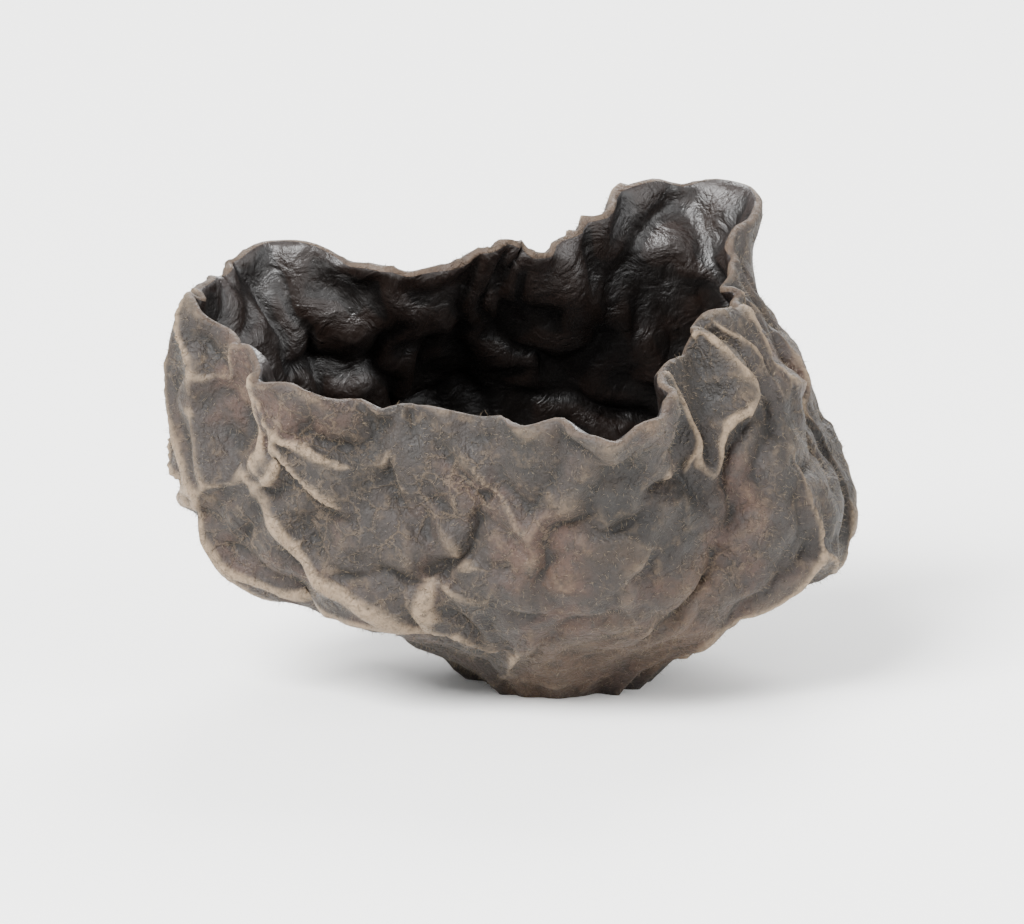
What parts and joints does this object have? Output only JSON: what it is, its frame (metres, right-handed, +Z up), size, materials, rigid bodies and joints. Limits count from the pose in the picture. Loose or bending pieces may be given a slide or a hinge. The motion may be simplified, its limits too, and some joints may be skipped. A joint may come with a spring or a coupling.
{
  "type": "dried wood ear mushroom",
  "caption": "Thin crumpled cup of dried wood ear mushroom with a wavy rolled rim, cut flat at its foot.",
  "frame": {"origin": "middle of the bounding box, at the height of the flat cut that the ear stands on", "axes": "+Z up out of the cup's mouth, the shortest extent; +X along the cup's longer side, the longest extent; the lower front wall faces -Y"},
  "size_m": [0.018, 0.0144, 0.0121],
  "materials": {
    "dried_skin": "matt wrinkled grey-brown skin outside, near-black with a soft gloss inside"
  },
  "bodies": {
    "root": {"wood_ear": "dried_skin"}
  },
  "joints": []
}
